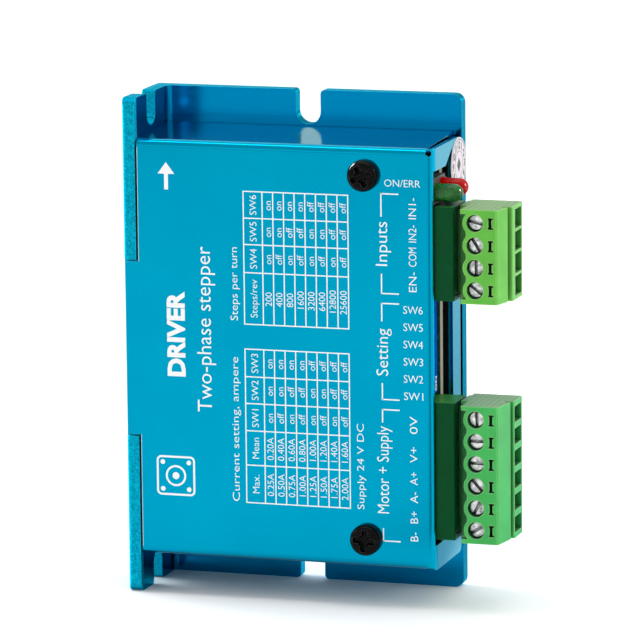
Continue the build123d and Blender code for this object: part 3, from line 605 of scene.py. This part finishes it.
def motor_mark(p, u, v):
    """Plain pictogram of a square motor flange: frame, pilot ring, shaft and four holes."""
    half, line, corner, hole = 3.3, 0.35, 0.7, 2.35
    inner = half - corner
    for side in (-1, 1):
        edge = side * half
        p.bar(u + edge - line / 2, v - inner, u + edge + line / 2, v + inner)
        p.bar(u - inner, v + edge - line / 2, u + inner, v + edge + line / 2)
        for other in (-1, 1):
            start = {(1, 1): 0, (-1, 1): 90, (-1, -1): 180, (1, -1): 270}[(side, other)]
            p.ring(u + side * inner, v + other * inner, corner + line / 2, corner - line / 2,
                   start=start, sweep=90)
            p.disc(u + side * hole, v + other * hole, 0.42)
    p.ring(u, v, 1.85, 1.5)
    p.disc(u, v, 0.62)


def seal_print(grey):
    """Inspection seal: two rings with the numbers 1 to 12 between them, and a plain diamond."""
    low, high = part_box("seam_seal")
    middle = Vector((high.x, (low.y + high.y) / 2, (low.z + high.z) / 2))
    p = Print("seal_print", middle, Vector((0, 1, 0)), Vector((0, 0, 1)))
    p.ring(0, 0, 4.42, 4.28, 60)
    p.ring(0, 0, 2.42, 2.32, 48)
    for hour in range(1, 13):
        turn = math.radians(90 - 30 * hour)
        p.text(str(hour), 3.4 * math.cos(turn), 3.4 * math.sin(turn) - 0.65, 1.3,
               bold=0.06, align="CENTER")
    p.outline([(1.1, 0), (0, 1.3), (-1.1, 0), (0, -1.3)])
    p.finish(grey, ROOT)


def switch_print(white):
    """ON beside the lowest lever, on the switch body's face."""
    low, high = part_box("dip_switch_body")
    corner = Vector((high.x, low.y, low.z))
    p = Print("switch_print", corner, Vector((0, 1, 0)), Vector((0, 0, 1)))
    p.text("ON", 4.85, 0.3, 0.95, 2.5, True, 0.03)
    p.finish(white, ROOT)


# ---------------------------------------------------------------- studio
def make_floor():
    """Pale floor that rises into a backdrop behind the module."""
    mesh = bpy.data.meshes.new("floor")
    shape = bmesh.new()
    reach, bend, steps = 3.0, 0.8, 16
    profile = [(-reach, 0.0)]
    profile += [(reach - bend + bend * math.sin(t), bend - bend * math.cos(t))
                for t in (math.pi / 2 * i / steps for i in range(steps + 1))]
    profile.append((reach, 3.5))
    rows = []
    for y, z in profile:
        rows.append([shape.verts.new((x, y, HEAT_LOW.z + z)) for x in (-4.0, 4.0)])
    for a, b in zip(rows, rows[1:]):
        shape.faces.new((a[0], a[1], b[1], b[0])).smooth = True
    shape.to_mesh(mesh)
    shape.free()
    floor = bpy.data.objects.new("floor", mesh)
    bpy.context.scene.collection.objects.link(floor)
    m = Surface("floor_paint")
    speck = m.noise(40.0, 2.0)
    m.set(Base_Color=m.mix(m.spread(speck, 0.3, 0.7), (0.93, 0.93, 0.93), (0.95, 0.95, 0.95)),
          Roughness=0.8)
    mesh.materials.append(m.material)


def area_light(name, where, aim, size, power, shine_only=False):
    """Rectangular light; a shine-only one shows in reflections and lights nothing matt."""
    light = bpy.data.lights.new(name, "AREA")
    light.shape = "RECTANGLE"
    light.size, light.size_y = size
    light.energy = power
    lamp = bpy.data.objects.new(name, light)
    bpy.context.scene.collection.objects.link(lamp)
    lamp.location = where
    lamp.rotation_euler = (Vector(aim) - Vector(where)).to_track_quat("-Z", "Y").to_euler()
    lamp.visible_diffuse = not shine_only


def make_lights():
    """Even white surroundings, five soft lights, and two that only put glints on shiny things."""
    world = bpy.data.worlds.new("studio")
    bpy.context.scene.world = world
    world.use_nodes = True
    background = world.node_tree.nodes["Background"]
    background.inputs["Color"].default_value = (1, 1, 1, 1)
    background.inputs["Strength"].default_value = 0.85
    area_light("overhead", (0.0, -0.1, 1.2), (0, 0, 0), (1.2, 0.35), 4.0)
    area_light("behind", (0.0, 1.0, 1.25), (0, 0.8, 0), (1.8, 1.0), 4.0)
    area_light("right", (1.1, 0.25, 0.45), (0, 0, 0), (0.6, 0.9), 4.4)
    area_light("front", (-0.5, -1.6, 0.36), (0, 0, 0), (1.2, 0.4), 0.9)
    area_light("left", (-1.05, 0.02, 0.55), (0, 0, 0), (0.15, 0.6), 3.0)
    area_light("glint", (0.98, 0.30, 0.37), (0, 0, 0), (0.32, 0.4), 14.0, True)
    area_light("rim", (-0.85, 0.25, 0.50), (0, 0, 0), (0.3, 0.5), 55.0, True)


def make_flag(name, corners, cloth):
    """Card lying on the floor, out of the picture, that the blue metal reflects."""
    mesh = bpy.data.meshes.new(name)
    shape = bmesh.new()
    shape.faces.new([shape.verts.new((x, y, HEAT_LOW.z + 0.002)) for x, y in corners])
    shape.to_mesh(mesh)
    shape.free()
    flag = bpy.data.objects.new(name, mesh)
    bpy.context.scene.collection.objects.link(flag)
    flag.visible_camera = False
    flag.visible_shadow = False
    flag.visible_diffuse = False
    mesh.materials.append(cloth)


def make_flags():
    """A card in front, darker to the right, for the cover's bend; one behind for its side."""
    front = Surface("flag_front", Roughness=0.8)
    x, y, _z = front.axes(front.coords)
    aside = front.spread(front.math("DIVIDE", x, front.math("MULTIPLY", y, -1.0)), 0.05, 0.75)
    front.set(Base_Color=front.mix(aside, (0.88, 0.88, 0.88), (0.22, 0.24, 0.26)))
    make_flag("front_flag", ((0.0, -0.06), (0.0, -0.55), (0.45, -0.55), (0.06, -0.06)),
              front.material)
    grey = Surface("flag_fade", Roughness=0.8)
    far = grey.spread(grey.axes(grey.coords)[1], 0.02, 0.36)
    grey.set(Base_Color=grey.mix(far, (0.20, 0.44, 0.50), (0.75, 0.82, 0.84)))
    make_flag("rear_flag", ((0.032, 0.0), (0.07, 0.0), (0.21, 0.38), (0.10, 0.38)), grey.material)


def make_camera():
    """Camera on its orbit, looking at the aim, with a slight roll."""
    yaw, pitch = math.radians(CAMERA_YAW), math.radians(CAMERA_PITCH)
    forward = Vector((-math.sin(yaw) * math.cos(pitch), math.cos(yaw) * math.cos(pitch),
                      -math.sin(pitch)))
    right = forward.cross(Vector((0, 0, 1))).normalized()
    up = right.cross(forward)
    roll = Matrix.Rotation(math.radians(CAMERA_ROLL), 3, -forward)
    turned = Matrix((roll @ right, roll @ up, -forward)).transposed()
    data = bpy.data.cameras.new("camera")
    data.lens = CAMERA_LENS
    data.sensor_width = 36.0
    data.clip_start, data.clip_end = 0.05, 20.0
    camera = bpy.data.objects.new("camera", data)
    bpy.context.scene.collection.objects.link(camera)
    camera.matrix_world = turned.to_4x4()
    camera.location = place(*CAMERA_AIM) - forward * CAMERA_DISTANCE
    bpy.context.scene.camera = camera


# ---------------------------------------------------------------- build
make_camera()
make_lights()
make_floor()
make_flags()
finishes = slot_materials()
dress_nodes(finishes)
white_ink = ink("white_ink", (0.88, 0.89, 0.89))
cover_print(white_ink)
switch_print(white_ink)
seal_print(ink("grey_ink", (0.03, 0.03, 0.035)))
bpy.context.scene.view_settings.view_transform = "Standard"
